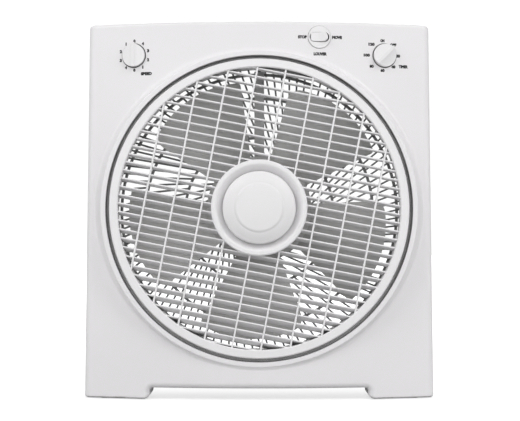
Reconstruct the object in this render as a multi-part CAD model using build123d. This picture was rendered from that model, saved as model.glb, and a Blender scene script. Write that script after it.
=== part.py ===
from build123d import *

import math
import os

# Box fan, 300 mm class, with a louver that turns slowly in front of the blades.
# Frame: X to the right seen from the front, Y from front to back, Z up. The origin is under the middle
# of the fan, on the surface it stands on.

# ---- Driving dimensions, mm ----
HALF_DEPTH = 67.8        # hub cap front at -Y, guard screw heads at +Y
BODY_H = 420.0
HALF_W_BOTTOM = 196.0
HALF_W_TOP = 193.0
PANEL_R = 950.0          # the front panel is a shallow arc in plan
PANEL_Y = -52.0          # its foremost line
WALL = 2.5
PARTING_Y = -6.0         # front and rear casings meet here
BACK_Y = 66.0            # outer face of the back wall
BACK_T = 2.4
BACK_EDGE_R = 6.0
CORNER_R = 10.0
FAN_Z = 212.0            # height of the fan's axis

LEG_GAP_HALF = 121.0     # the body stands on legs left and right of this
LEG_BOTTOM = 1.0
LEG_TOP = 13.0
FLOOR_WALL = 3.5
ROLL_R = 6.5             # rolled-under lower edge of the panel

OPENING_R = 169.75
LIP_R = 172.15
LIP_BACK_Y = -44.0
COLLAR_Y = -54.0
COLLAR_R = 175.0
COLLAR_FLARE = 0.444     # growth of the collar's radius per millimetre of depth
COLLAR_FOOT_R = 5.0      # blend where the collar runs into the panel

LOUVER_R = 165.7
LOUVER_RING_IN = 156.2
LOUVER_BACK_Y = -40.0
FLANGE_R = 174.5
FLANGE_T = 2.5
SLAT_COUNT = 34
SLAT_PITCH = 9.27        # between the slats' front edges
SLAT_DROP = 0.9          # how far the slats sit below even spacing about the axis
SLAT_T = 1.7
SLAT_DEPTH = 11.0
SLAT_LEAN = 13.0         # degrees that the middle slat's front edge is tipped up
SLAT_LEAN_GROWTH = 0.14  # degrees more for each millimetre further down
BAR_COUNT = 9
BAR_PITCH = 31.4
BAR_W = 1.9
LOUVER_TURN = 11.0       # degrees clockwise, as it stands
HUB_R = 53.0
HUB_CAP_R = 40.0

ROLLER_R = 9.0
ROLLER_GAP = 0.3
ROLLER_ANGLE = -20.0     # degrees clockwise from the top, seen from the front
LOUVER_MOTOR_R = 25.0

BLADE_COUNT = 5
BLADE_R = 149.0
BLADE_FIRST = 38.5       # degrees clockwise from the top to the middle of the first blade
BLADE_SPAN = 50.0
BLADE_FRONT_Y = -33.0
BLADE_BACK_Y = 2.0
BLADE_T = 2.2
FAN_HUB_R = 59.0
DRIVE_PIN_R = 1.5
DRIVE_PIN_Y = -12.5

SHAFT_R = 4.0
RUN_FIT = 0.04           # radial clearance of a shaft in its bush
MOTOR_R = 43.0
MOTOR_COVER_R = 50.0
CORE_Y = (12.0, 34.0)    # the stator and rotor laminations

GUARD_IN_Y = 57.0
GUARD_OPENING_R = 178.0
GUARD_RIB_COUNTS = (54, 90, 108)  # ribs in each zone, from the dish outwards
GUARD_RIB_W = 2.1
GUARD_TANGENT_R = 37.0   # every rib is tangent to this circle
GUARD_RINGS = (90.5, 139.0, 168.5)
GUARD_RING_W = 2.8
DISH_R = 62.0
GUARD_FLANGE_R = 181.4

DIAL_X = 140.6
DIAL_Z = 383.2
KNOB_R = 12.8
KNOB_HOLE_R = 13.9
KNOB_H = 5.8             # how far the grip ridge stands out of the panel
SHAFT_END_Y = -3.6
ROCKER_X = 67.0
ROCKER_Z = 402.3
ROCKER_THROW = 18.0      # degrees from one side to the other
BEZEL_R = 12.6
BEZEL_SINK = 0.9         # the bezel sits this deep in its counterbore

PAD_X = 163.0
PAD_FRONT_Y = -22.0
PAD_REAR_Y = 50.0
REAR_FOOT = (44.0, 28.0)     # length and width of a rear foot
REAR_FOOT_WALL = 2.5
INLET_X = 150.0
INLET_Z = 52.0
INLET_R = 3.75
INLET_HOLE_R = 7.0

SMALL = 0.05             # clearance of a fastener in its hole
OVER = 1.0               # how far a cutting shape runs past a face


# ---- Shapes used throughout ----
def box(x0, x1, y0, y1, z0, z1):
    """A block between two corners."""
    return Pos((x0 + x1) / 2, (y0 + y1) / 2, (z0 + z1) / 2) * Box(x1 - x0, y1 - y0, z1 - z0)


def rod(radius, y0, y1, x=0.0, z=FAN_Z):
    """A cylinder along Y."""
    return Pos(x, (y0 + y1) / 2, z) * Rot(90, 0, 0) * Cylinder(radius, y1 - y0)


def tube(outer, inner, y0, y1, x=0.0, z=FAN_Z):
    """A cylinder along Y with a through bore."""
    return rod(outer, y0, y1, x, z) - rod(inner, y0 - OVER, y1 + OVER, x, z)


def turned(*corners):
    """A solid of revolution about the fan's axis, from (radius, y) corners."""
    face = make_face(Polyline(*corners, close=True))
    return Pos(0, 0, FAN_Z) * revolve(face, Axis.Y)


def slab(sketch, y0, y1):
    """A flat outline, drawn about the fan's axis as seen from the front, between two depths."""
    return Pos(0, y1, FAN_Z) * extrude(Plane.XZ * sketch, amount=y1 - y0)


def clock(radius, degrees):
    """The x and z of a point at an angle clockwise from the top of the fan's axis."""
    angle = math.radians(degrees)
    return radius * math.sin(angle), FAN_Z + radius * math.cos(angle)


def panel_y(x, inset=0.0):
    """The depth of the panel's outer face at x, or of a face that far inside it."""
    return PANEL_Y + PANEL_R - math.sqrt((PANEL_R - inset) ** 2 - x * x)


def on_panel(x, z):
    """A frame on the panel: its origin is on the outer face and its +Y points straight in."""
    return Pos(x, panel_y(x), z) * Rot(0, 0, math.degrees(math.asin(x / PANEL_R)))


def pan_screw(x, z, head_y, length, radius, head_r, head_h):
    """A cross-recessed pan-head screw driven in from the back. Its head bears at head_y."""
    top = head_y + head_h
    slot_half = 0.4
    head = rod(head_r, head_y, top, x, z)
    head = fillet(head.edges().filter_by(lambda e: abs(e.center().Y - top) < 0.01), head_h * 0.45)
    flat = box(x - head_r, x + head_r, top - head_h, top + head_h, z - slot_half, z + slot_half)
    upright = box(x - slot_half, x + slot_half, top - head_h, top + head_h, z - head_r, z + head_r)
    cross = flat + upright & rod(head_r * 0.6, top - head_h * 0.5, top + head_h, x, z)
    return rod(radius, head_y - length, head_y, x, z) + (head - cross)


nodes = {}


def keep(name, *shapes):
    """Files the solids of one node under its name."""
    solids = [solid for shape in shapes for solid in shape.solids()]
    nodes[name] = solids[0] if len(solids) == 1 else Compound(children=solids)


# ---- Casing ----
SIDE_SLOPE = (HALF_W_BOTTOM - HALF_W_TOP) / BODY_H
CASING_BOSSES = [(-180, 26), (180, 26), (-60, 27), (60, 27), (-180, 400), (180, 400), (-100, 404), (100, 404)]
CLIP_ANGLES = (45, 135, 225, 315)
CLIP_SCREW_R = 188.0
CLIP_PLATE_Y = -33.0
PADS = [(side * PAD_X, y) for side in (-1, 1) for y in (PAD_FRONT_Y, PAD_REAR_Y)]
PAD_SIZE = (30.0, 14.0, 3.0)
GUARD_SCREW_R = 182.5
GUARD_SCREW_ANGLES = [30 + 60 * i for i in range(6)]
RECESS_HALF = 56.0       # finger recess in the back: half width, depth, and heights
RECESS_DEPTH = 26.0
RECESS_LOW = 396.0
RECESS_LIP = 410.0       # underside of the lip that the fingers pull against
RECESS_HIGH = 413.0      # the roof behind the lip


def side_x(z, inset=0.0):
    """Half the body's width at a height."""
    return HALF_W_BOTTOM - SIDE_SLOPE * z - inset


def silhouette(inset, z0, z1):
    """The body's outline from the front, with its slightly leaning sides."""
    half0, half1 = side_x(z0, inset), side_x(z1, inset)
    return make_face(Polyline((-half0, z0), (half0, z0), (half1, z1), (-half1, z1), close=True))


def front_block(inset, z0, z1, y_back):
    """The solid behind the curved panel, its vertical corners rounded."""
    reach = HALF_W_BOTTOM + 10
    arc = ThreePointArc(
        (-reach, panel_y(reach, inset)), (0, PANEL_Y + inset), (reach, panel_y(reach, inset))
    )
    sides = Polyline(arc @ 1, (reach, y_back), (-reach, y_back), arc @ 0)
    block = Pos(0, 0, z0) * extrude(make_face(arc + sides), amount=z1 - z0)
    prism = Pos(0, y_back + OVER, 0) * extrude(Plane.XZ * silhouette(inset, z0, z1), amount=120)
    block = block & prism
    upright = block.edges().filter_by(lambda e: e.length > 0.9 * (z1 - z0) and abs(e.center().X) > 100)
    return fillet(upright.sort_by(Axis.Y)[:2], CORNER_R - inset)


def collar_cone(inset):
    """The flared collar round the opening, as a solid frustum."""
    y0 = COLLAR_Y + inset
    y1 = -26.0
    r0 = COLLAR_R - inset * 1.1 + COLLAR_FLARE * inset
    r1 = r0 + COLLAR_FLARE * (y1 - y0)
    return turned((0, y0), (r0, y0), (r1, y1), (0, y1))


def leg_gap(y0, y1):
    """The clear space between the legs, its upper corners rounded."""
    outline = Rectangle(2 * LEG_GAP_HALF, 2 * LEG_TOP)
    corners = outline.vertices().group_by(Axis.Y)[-1]
    outline = fillet(corners, 4.0)
    return Pos(0, y1, 0) * extrude(Plane.XZ * outline, amount=y1 - y0)


def front_casing():
    """Curved panel with collar, lip, legs, control holes and screw bosses, one moulding."""
    outer = front_block(0.0, LEG_BOTTOM, BODY_H, PARTING_Y)
    top = outer.edges().filter_by(lambda e: e.center().Z > BODY_H - 0.1 and e.center().Y < PARTING_Y - 0.1)
    outer = fillet(top, 4.0)
    sole = LEG_BOTTOM + 0.1
    foot = outer.edges().filter_by(lambda e: e.center().Z < sole and e.center().Y < PARTING_Y - 0.1)
    outer = fillet(foot, 2.5)
    outer -= leg_gap(-100, PARTING_Y + OVER)
    gap_front = outer.edges().filter_by(
        lambda e: e.center().Z < LEG_TOP + 0.1
        and abs(e.center().X) < LEG_GAP_HALF + 0.1
        and e.center().Y < -38
        and e.bounding_box().size.Y < 12
        and e.center().Z > LEG_BOTTOM + 0.5
    )
    outer = fillet(gap_front, ROLL_R)
    collar = collar_cone(0.0)
    rim = collar.edges().filter_by(lambda e: abs(e.center().Y - COLLAR_Y) < 0.01)
    outer += fillet(rim, 1.6)
    foot_line = outer.edges().filter_by(
        lambda e: e.bounding_box().size.X > 2 * COLLAR_R + 5 and e.bounding_box().size.Z > 2 * COLLAR_R - 10
    )
    outer = fillet(foot_line, COLLAR_FOOT_R)

    room = front_block(WALL, LEG_TOP + FLOOR_WALL, BODY_H - WALL, PARTING_Y + OVER)
    legs = front_block(WALL, LEG_BOTTOM + WALL + 2.0, LEG_TOP + FLOOR_WALL + OVER, PARTING_Y - WALL)
    legs -= box(-LEG_GAP_HALF - WALL, LEG_GAP_HALF + WALL, -100, 50, 0, 50)
    casing = outer - room - legs - collar_cone(WALL)
    casing += rod(LIP_R, COLLAR_Y + 1.0, LIP_BACK_Y)
    casing -= rod(OPENING_R, -100, 50)

    bosses = []
    for x, z in CASING_BOSSES:
        bosses.append(rod(5.0, panel_y(x) + OVER, PARTING_Y, x, z) - rod(1.6, -26, 0, x, z))
    for angle in CLIP_ANGLES:
        x, z = clock(CLIP_SCREW_R, angle)
        bosses.append(rod(4.0, panel_y(x) + OVER, CLIP_PLATE_Y, x, z) - rod(1.3, -40.5, 0, x, z))
    for x, z in louver_motor_ears():
        bosses.append(rod(3.6, panel_y(x) + OVER, EAR_Y, x, z) - rod(1.2, EAR_Y - 8, 0, x, z))
    casing += bosses
    for x in (-DIAL_X, DIAL_X):
        casing -= on_panel(x, DIAL_Z) * rod(KNOB_HOLE_R, -10, 10, 0, 0)
    switch_hole = rod(BEZEL_R - 1.0, -10, 10, 0, 0) + rod(BEZEL_R + 0.3, -10, BEZEL_SINK, 0, 0)
    casing -= on_panel(ROCKER_X, ROCKER_Z) * switch_hole
    for x, y in PADS:
        if y < PARTING_Y:
            casing -= pad_block(x, y, SMALL)
    return casing


def pad_block(x, y, grow=0.0):
    """One foot pad, or the pocket for it."""
    length, width, height = PAD_SIZE
    blank = Box(length + 2 * grow, width + 2 * grow, height, align=(Align.CENTER, Align.CENTER, Align.MIN))
    return Pos(x, y, 0) * fillet(blank.edges().filter_by(Axis.Z), 4.0)


def rear_casing():
    """The back shell: walls, back wall with the guard's opening, finger recess, rear legs, wells."""
    inset = 1.5
    z1 = BODY_H - inset
    block = Pos(0, BACK_Y, 0) * extrude(
        Plane.XZ * silhouette(inset, LEG_TOP, z1), amount=BACK_Y - PARTING_Y
    )
    block = fillet(block.edges().filter_by(lambda e: e.length < 80 and e.center().Z > 200), 4.0)
    block = fillet(block.edges().filter_by(lambda e: abs(e.center().Y - BACK_Y) < 0.1), BACK_EDGE_R)
    room_y = BACK_Y - BACK_T
    room = Pos(0, room_y, 0) * extrude(
        Plane.XZ * silhouette(inset + BACK_T, LEG_TOP + BACK_T, z1 - BACK_T), amount=room_y - PARTING_Y + OVER
    )
    room = fillet(room.edges().filter_by(lambda e: abs(e.center().Y - room_y) < 0.1), BACK_EDGE_R - BACK_T)
    feet, foot_rooms = [], []
    for side in (-1, 1):
        half_x, half_y = REAR_FOOT[0] / 2, REAR_FOOT[1] / 2
        x, floor = side * PAD_X, LEG_BOTTOM + 4.5
        foot = box(x - half_x, x + half_x, PAD_REAR_Y - half_y, PAD_REAR_Y + half_y, LEG_BOTTOM, LEG_TOP + 8)
        foot = fillet(foot.edges().filter_by(Axis.Z), 6.0)
        feet.append(fillet(foot.edges().group_by(Axis.Z)[0], 1.5))
        half_x, half_y = half_x - REAR_FOOT_WALL, half_y - REAR_FOOT_WALL
        foot_rooms.append(
            box(x - half_x, x + half_x, PAD_REAR_Y - half_y, PAD_REAR_Y + half_y, floor, LEG_TOP + 40)
        )
    wells = [rod(6.5, PARTING_Y, BACK_Y - 1.0, x, z) for x, z in CASING_BOSSES]
    half, low = RECESS_HALF, RECESS_LOW
    deep = BACK_Y - RECESS_DEPTH
    pocket = box(-half - 2, half + 2, deep - 2, BACK_Y - 1.0, low - 2, RECESS_HIGH + 1.5)
    casing = block - room
    casing += feet + wells + [pocket]
    casing -= foot_rooms
    for x, z in CASING_BOSSES:
        casing -= rod(4.8, 4.0, BACK_Y + OVER, x, z)
        casing -= rod(2.1, PARTING_Y - OVER, 5.0, x, z)
    mouth = box(-half, half, deep, BACK_Y + OVER, low, RECESS_LIP)
    casing -= fillet(mouth.edges().filter_by(Axis.Y), 5.0)
    casing -= fillet(box(-half, half, deep, BACK_Y - 7, low, RECESS_HIGH).edges().filter_by(Axis.Y), 4.0)
    casing -= rod(GUARD_OPENING_R, BACK_Y - 5, BACK_Y + OVER)
    for angle in GUARD_SCREW_ANGLES:
        casing -= rod(1.7, BACK_Y - 5, BACK_Y + OVER, *clock(GUARD_SCREW_R, angle))
    casing -= rod(INLET_HOLE_R, BACK_Y - 5, BACK_Y + OVER, INLET_X, INLET_Z)
    for x, y in PADS:
        if y > PARTING_Y:
            casing -= pad_block(x, y, SMALL)
    return casing


def cord_inlet_bush():
    """Rubber bush in the back wall where a mains lead goes in."""
    bush = rod(9.5, BACK_Y, BACK_Y + 1.6, INLET_X, INLET_Z)
    bush += rod(INLET_HOLE_R, BACK_Y - BACK_T, BACK_Y, INLET_X, INLET_Z)
    bush += rod(8.6, BACK_Y - 8.0, BACK_Y - BACK_T, INLET_X, INLET_Z)
    return bush - rod(INLET_R, BACK_Y - 20, BACK_Y + 10, INLET_X, INLET_Z)


# ---- Louver ----
CLIP_T = 1.8


def louver_grille():
    """Ring, rear flange, hub, slats and bars, one moulding that turns as it stands."""
    skirt = 2.0
    y0, y1 = COLLAR_Y, LOUVER_BACK_Y
    ring = turned(
        (LOUVER_RING_IN, y0 + 1.0), (LOUVER_RING_IN + 1.0, y0), (LOUVER_R - 1.2, y0), (LOUVER_R, y0 + 1.2),
        (LOUVER_R, y1 - FLANGE_T), (FLANGE_R, y1 - FLANGE_T), (FLANGE_R, y1), (LOUVER_R - skirt, y1),
        (LOUVER_R - skirt, y0 + skirt), (LOUVER_RING_IN + skirt, y0 + skirt),
        (LOUVER_RING_IN + skirt, y1), (LOUVER_RING_IN, y1),
    )
    hub = turned(
        (6.0, y0 + 1.0), (HUB_CAP_R + 0.6, y0 + 1.0), (HUB_R - 6.6, y0 - 4.4), (HUB_R - 4.6, y0 - 5.4),
        (HUB_R - 1.4, y0 - 5.4), (HUB_R, y0 - 4.0), (HUB_R, y1), (HUB_R - skirt, y1),
        (HUB_R - skirt, y0 - 2.6), (HUB_R - 5.4, y0 - 2.6), (HUB_CAP_R + 2.8, y0 + 3.0), (6.0, y0 + 3.0),
    )
    slats = []
    reach = LOUVER_RING_IN + 10
    for i in range(SLAT_COUNT):
        up = SLAT_PITCH * (i - (SLAT_COUNT - 1) / 2) - SLAT_DROP
        lean = max(0.0, SLAT_LEAN - SLAT_LEAN_GROWTH * up)
        slat = Box(2 * reach, SLAT_DEPTH, SLAT_T)
        front = slat.edges().filter_by(Axis.X).sort_by(Axis.Y)[:2]
        slat = fillet(front, SLAT_T * 0.35)
        slats.append(Pos(0, y0 + 2.2, FAN_Z + up) * Rot(-lean, 0, 0) * Pos(0, SLAT_DEPTH / 2, 0) * slat)
    bars = []
    for i in range(BAR_COUNT):
        side = BAR_PITCH * (i - (BAR_COUNT - 1) / 2)
        bars.append(box(side - BAR_W / 2, side + BAR_W / 2, y0 + 1.4, y0 + 6.0, FAN_Z - reach, FAN_Z + reach))
    space = tube(LOUVER_RING_IN + 1.2, HUB_R - 1.0, y0 - 5, y1 + 5)
    grid = (Part() + slats + bars) & space
    grille = grid + ring + hub
    turn = Pos(0, 0, FAN_Z) * Rot(0, LOUVER_TURN, 0) * Pos(0, 0, -FAN_Z)
    return turn * grille


def louver_hub_cap():
    """Domed cap with a slightly raised middle, pressed into the hub."""
    y0 = COLLAR_Y
    step_r = 26.6
    crown_r = (step_r ** 2 + 1.0) / 2.0
    middle = Vector(0, -HALF_DEPTH + crown_r)
    rim = middle + Vector(step_r, -math.sqrt(crown_r ** 2 - step_r ** 2))
    half = middle + Vector(step_r / 2, -math.sqrt(crown_r ** 2 - step_r ** 2 / 4))
    edge = Polyline(
        (0, -HALF_DEPTH), (0, y0 + 1.0), (HUB_CAP_R, y0 + 1.0), (HUB_CAP_R, y0 - 6.6),
        (step_r + 0.6, y0 - 11.4), rim,
    )
    profile = make_face(edge + ThreePointArc(rim, half, (0, -HALF_DEPTH)))
    cap = Pos(0, 0, FAN_Z) * revolve(profile, Axis.Y)
    front_rim = cap.edges().filter_by(lambda e: abs(e.center().Y - y0 + 6.6) < 0.1)
    return fillet(front_rim, 3.0)


def louver_clip(angle):
    """A clip that keeps the louver's flange in place, screwed to a boss on the panel."""
    wall_in = FLANGE_R + 0.4
    span = 5.0
    shape = turned(
        (FLANGE_R - 3.0, LOUVER_BACK_Y + 0.5), (wall_in, LOUVER_BACK_Y + 0.5), (wall_in, -41.5),
        (wall_in + CLIP_T, -41.5), (wall_in + CLIP_T, CLIP_PLATE_Y), (CLIP_SCREW_R + 5, CLIP_PLATE_Y),
        (CLIP_SCREW_R + 5, CLIP_PLATE_Y + CLIP_T), (wall_in, CLIP_PLATE_Y + CLIP_T),
        (wall_in, LOUVER_BACK_Y + 2.5), (FLANGE_R - 3.0, LOUVER_BACK_Y + 2.5),
    )
    shape &= box(-span, span, -60, 0, FAN_Z + 100, FAN_Z + 250)
    shape -= rod(1.7, -60, 0, 0, FAN_Z + CLIP_SCREW_R)
    return Pos(0, 0, FAN_Z) * Rot(0, angle, 0) * Pos(0, 0, -FAN_Z) * shape


# ---- Louver drive ----
ROLLER_AT_R = FLANGE_R + ROLLER_R + ROLLER_GAP
EAR_REACH = 29.0
EAR_Y = -34.0
EAR_T = 1.6


def louver_motor_ears():
    """Centres of the two fixing ears, either side of the roller along the louver's rim."""
    x, z = clock(ROLLER_AT_R, ROLLER_ANGLE)
    angle = math.radians(ROLLER_ANGLE)
    along = EAR_REACH * math.cos(angle), -EAR_REACH * math.sin(angle)
    return [(x - along[0], z - along[1]), (x + along[0], z + along[1])]


def louver_motor():
    """Flat synchronous gear motor that turns the roller."""
    x, z = clock(ROLLER_AT_R, ROLLER_ANGLE)
    body = rod(LOUVER_MOTOR_R, EAR_Y, EAR_Y + 15, x, z)
    body = fillet(body.edges().filter_by(GeomType.CIRCLE), 1.2)
    body += rod(6.0, EAR_Y - 1.6, EAR_Y + 1, x, z)
    for ear_x, ear_z in louver_motor_ears():
        body += rod(4.6, EAR_Y, EAR_Y + EAR_T, ear_x, ear_z)
        mid_x, mid_z = (x + ear_x) / 2, (z + ear_z) / 2
        lean = math.degrees(math.atan2(z - ear_z, x - ear_x))
        web = Box(EAR_REACH, EAR_T, 9.2)
        body += Pos(mid_x, EAR_Y + EAR_T / 2, mid_z) * Rot(0, -lean, 0) * web
    for ear_x, ear_z in louver_motor_ears():
        body -= rod(1.5, EAR_Y - 5, EAR_Y + 5, ear_x, ear_z)
    return body - rod(3.0 + RUN_FIT, EAR_Y - 5, EAR_Y + 8, x, z)


# ---- Fan ----
def fan_blade():
    """Hub and blades, one moulding. The leading edges are the clockwise ones, at the back."""
    hub = turned(
        (0, BLADE_FRONT_Y - 2.5), (FAN_HUB_R - 7, BLADE_FRONT_Y - 2.5), (FAN_HUB_R, BLADE_FRONT_Y + 4),
        (FAN_HUB_R, 4.0), (FAN_HUB_R - 2.4, 4.0), (FAN_HUB_R - 2.4, BLADE_FRONT_Y + 5),
        (FAN_HUB_R - 8, BLADE_FRONT_Y), (9.0, BLADE_FRONT_Y), (9.0, -11.0), (0, -11.0),
    )
    depth = BLADE_BACK_Y - BLADE_FRONT_Y - BLADE_T
    rows = []
    for radius in (FAN_HUB_R - 4, 80, 104, 128, BLADE_R + 3):
        row = []
        for j in range(9):
            share = j / 8
            turn = BLADE_FIRST + BLADE_SPAN * 1.1 * (share - 0.5)
            camber = 0.18 * math.sin(math.pi * share)
            x, z = clock(radius, turn)
            row.append(Vector(x, BLADE_FRONT_Y + depth * (share - camber), z))
        rows.append(row)
    sheet = Face.make_surface_from_array_of_points(rows, tol=0.02)
    thick = extrude(sheet, amount=BLADE_T, dir=(0, 1, 0))

    half = BLADE_SPAN / 2
    trail, lead = BLADE_FIRST - half, BLADE_FIRST + half

    def flat(radius, degrees):
        angle = math.radians(degrees)
        return radius * math.sin(angle), radius * math.cos(angle)

    outline = make_face(
        Polyline(flat(BLADE_R - 9, trail + 1), flat(FAN_HUB_R - 3, trail - 1), flat(FAN_HUB_R - 3, lead - 1))
        + Line(flat(FAN_HUB_R - 3, lead - 1), flat(BLADE_R, lead))
        + ThreePointArc(flat(BLADE_R, lead), flat(BLADE_R - 1.5, BLADE_FIRST), flat(BLADE_R - 9, trail + 1))
    )
    tips = outline.vertices().filter_by(lambda v: v.center().length > 120)
    rounded = sorted(tips, key=lambda v: v.center().length)
    outline = fillet(rounded[0], 14.0)
    far = sorted(outline.vertices(), key=lambda v: v.center().length)[-1]
    outline = fillet(far, 4.0)
    blade = thick & slab(outline, BLADE_FRONT_Y - 5, BLADE_BACK_Y + 5)
    turns = [
        Pos(0, 0, FAN_Z) * Rot(0, i * 360 / BLADE_COUNT, 0) * Pos(0, 0, -FAN_Z) * blade
        for i in range(BLADE_COUNT)
    ]
    keep_out = rod(FAN_HUB_R - 2.4, BLADE_FRONT_Y, 20)
    fan = hub + [turn - keep_out for turn in turns]
    fan -= rod(SHAFT_R, -60, 20)
    groove = box(-7.5, 7.5, DRIVE_PIN_Y - DRIVE_PIN_R, 0, FAN_Z - DRIVE_PIN_R, FAN_Z + DRIVE_PIN_R)
    return fan - groove


def motor_shaft():
    """Steel shaft from the blade nut back to the rear bush, cross-drilled for the drive pin."""
    shaft = rod(SHAFT_R, -42, 51)
    shaft = chamfer(shaft.edges().filter_by(GeomType.CIRCLE), 0.6)
    return shaft - Pos(0, DRIVE_PIN_Y, FAN_Z) * Rot(0, 90, 0) * Cylinder(DRIVE_PIN_R, 20)


def drive_pin():
    """Cross pin that turns the fan's hub with the shaft."""
    return Pos(0, DRIVE_PIN_Y, FAN_Z) * Rot(0, 90, 0) * Cylinder(DRIVE_PIN_R, 13.0)


def blade_nut():
    """Fluted plastic nut on the front end of the shaft."""
    front, back = BLADE_FRONT_Y - 10.5, BLADE_FRONT_Y - 2.5
    nut = rod(11.0, front, back)
    nut = fillet(nut.edges().group_by(Axis.Y)[0], 1.5)
    flutes = [rod(2.2, front - OVER, back + OVER, *clock(12.2, 45 * i)) for i in range(8)]
    return nut - flutes - rod(SHAFT_R, front + 1.5, back + OVER)


# ---- Motor ----
BOLT_R = 39.0
BOLT_ANGLES = (45, 135, 225, 315)
POST_ANGLES = (0, 90, 180, 270)
BUSH_R = 6.5


def motor_bracket(face_y, rim_y, way):
    """Die-cast end bracket: rim against the core, four spokes and a bush seat."""
    def span(a, b):
        return (min(a, b), max(a, b))

    rim = tube(MOTOR_R, 35.0, *span(face_y, rim_y))
    seat = tube(9.5, BUSH_R, *span(face_y - way * 5, face_y + way * 5))
    spokes = []
    for angle in (0, 90):
        spoke = box(-36.5, 36.5, *span(face_y, face_y + way * 3), FAN_Z - 6, FAN_Z + 6)
        spokes.append(Pos(0, 0, FAN_Z) * Rot(0, angle, 0) * Pos(0, 0, -FAN_Z) * spoke)
    web = (spokes[0] + spokes[1]) - rod(8.0, face_y - 20, face_y + 20)
    bracket = rim + seat + web
    for angle in BOLT_ANGLES:
        bracket -= rod(2.0 + SMALL, -20, 70, *clock(BOLT_R, angle))
    return bracket


def stator_core():
    """Laminated ring with eight winding slots."""
    core = tube(42.0, 22.0, *CORE_Y)
    for i in range(8):
        slot = box(-3.2, 3.2, CORE_Y[0] - OVER, CORE_Y[1] + OVER, FAN_Z + 25, FAN_Z + 33)
        core -= Pos(0, 0, FAN_Z) * Rot(0, 22.5 + 45 * i, 0) * Pos(0, 0, -FAN_Z) * slot
    for angle in BOLT_ANGLES:
        core -= rod(2.0 + SMALL, -20, 70, *clock(BOLT_R, angle))
    return core


def stator_windings():
    """Copper windings: two end turns joined by the runs through the slots."""
    low, high = CORE_Y
    coil = tube(33.4, 24.6, low - 7, low - 0.1) + tube(33.4, 24.6, high + 0.1, high + 7)
    rims = coil.edges().filter_by(GeomType.CIRCLE).filter_by(
        lambda e: e.center().Y < low - 6.9 or e.center().Y > high + 6.9
    )
    coil = fillet(rims, 2.5)
    runs = []
    for i in range(8):
        run = box(-2.9, 2.9, low - 1, high + 1, FAN_Z + 25.4, FAN_Z + 32.6)
        runs.append(Pos(0, 0, FAN_Z) * Rot(0, 22.5 + 45 * i, 0) * Pos(0, 0, -FAN_Z) * run)
    return coil + runs


def motor_posts(face_y):
    """Four posts from the rear bracket to the guard's dish."""
    posts = []
    for angle in POST_ANGLES:
        x, z = clock(BOLT_R, angle)
        posts.append(rod(4.5, face_y - OVER, GUARD_IN_Y, x, z) - rod(2.0, face_y - 2 * OVER, 80, x, z))
    return posts


def through_bolt(x, z, front, back):
    """Long screw through both brackets and the core, with a nut at the back."""
    bolt = rod(2.0, front, back + 4.0, x, z) + rod(3.6, front - 2.6, front, x, z)
    nut = Pos(x, back + 3.0, z) * extrude(Plane.XZ * RegularPolygon(3.9, 6), amount=3.0)
    return bolt + nut


def rotor_core():
    """Laminated rotor with its two end rings, pressed on the shaft."""
    low, high = CORE_Y
    core = tube(21.6, SHAFT_R, low, high)
    return core + tube(20.4, 14.0, low - 3, low) + tube(20.4, 14.0, high, high + 3)


def motor_cover():
    """Plastic cup round the motor, open at the guard's dish."""
    cover = turned(
        (9.0, -8.0), (MOTOR_COVER_R - 5, -8.0), (MOTOR_COVER_R, -3.0), (MOTOR_COVER_R, GUARD_IN_Y),
        (MOTOR_COVER_R - 2, GUARD_IN_Y), (MOTOR_COVER_R - 2, -2.2), (MOTOR_COVER_R - 5.8, -6.0), (9.0, -6.0),
    )
    return cover - box(-3.2, 3.2, 50, GUARD_IN_Y + OVER, FAN_Z + 40, FAN_Z + 60)


# ---- Rear guard ----
def rear_guard():
    """Centre dish, three zones of leaning ribs, three rings and a flanged rim, one moulding."""
    zone_edges = (DISH_R - 2, GUARD_RINGS[0], GUARD_RINGS[1], GUARD_OPENING_R - 1.5)
    ribs = []
    for count, inner, outer in zip(GUARD_RIB_COUNTS, zone_edges, zone_edges[1:]):
        start = math.sqrt(inner ** 2 - GUARD_TANGENT_R ** 2)
        end = math.sqrt(outer ** 2 - GUARD_TANGENT_R ** 2)
        rib = Pos(GUARD_TANGENT_R, (start + end) / 2) * Rectangle(GUARD_RIB_W, end - start + 0.8)
        ribs += [Rot(0, 0, i * 360 / count) * rib for i in range(count)]
    fan_of_ribs = slab(Sketch() + ribs, GUARD_IN_Y + 0.5, GUARD_IN_Y + 5.5)
    rings = [
        tube(r + GUARD_RING_W / 2, r - GUARD_RING_W / 2, GUARD_IN_Y, GUARD_IN_Y + 6.2) for r in GUARD_RINGS
    ]
    rim_r = GUARD_OPENING_R - 0.4
    flange_y = GUARD_IN_Y + 4.0
    rim = turned(
        (rim_r - 2.2, GUARD_IN_Y + 0.5), (rim_r, GUARD_IN_Y + 0.5), (rim_r, flange_y),
        (GUARD_FLANGE_R, flange_y), (GUARD_FLANGE_R, BACK_Y - BACK_T), (rim_r, BACK_Y - BACK_T),
        (rim_r, BACK_Y - 0.6), (rim_r - 2.2, BACK_Y - 0.6),
    )
    dish = turned(
        (0, GUARD_IN_Y), (DISH_R, GUARD_IN_Y), (DISH_R, GUARD_IN_Y + 5.5), (DISH_R - 3, GUARD_IN_Y + 7.0),
        (DISH_R - 9, GUARD_IN_Y + 3.0), (0, GUARD_IN_Y + 3.0),
    )
    ears = [rod(4.5, flange_y, BACK_Y - BACK_T, *clock(GUARD_SCREW_R, angle)) for angle in GUARD_SCREW_ANGLES]
    guard = fan_of_ribs + rings + ears + [rim, dish]
    for angle in POST_ANGLES:
        guard -= rod(2.0 + SMALL, 40, 80, *clock(BOLT_R, angle))
    for angle in GUARD_SCREW_ANGLES:
        guard -= rod(1.2, 40, 80, *clock(GUARD_SCREW_R, angle))
    return guard


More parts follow.
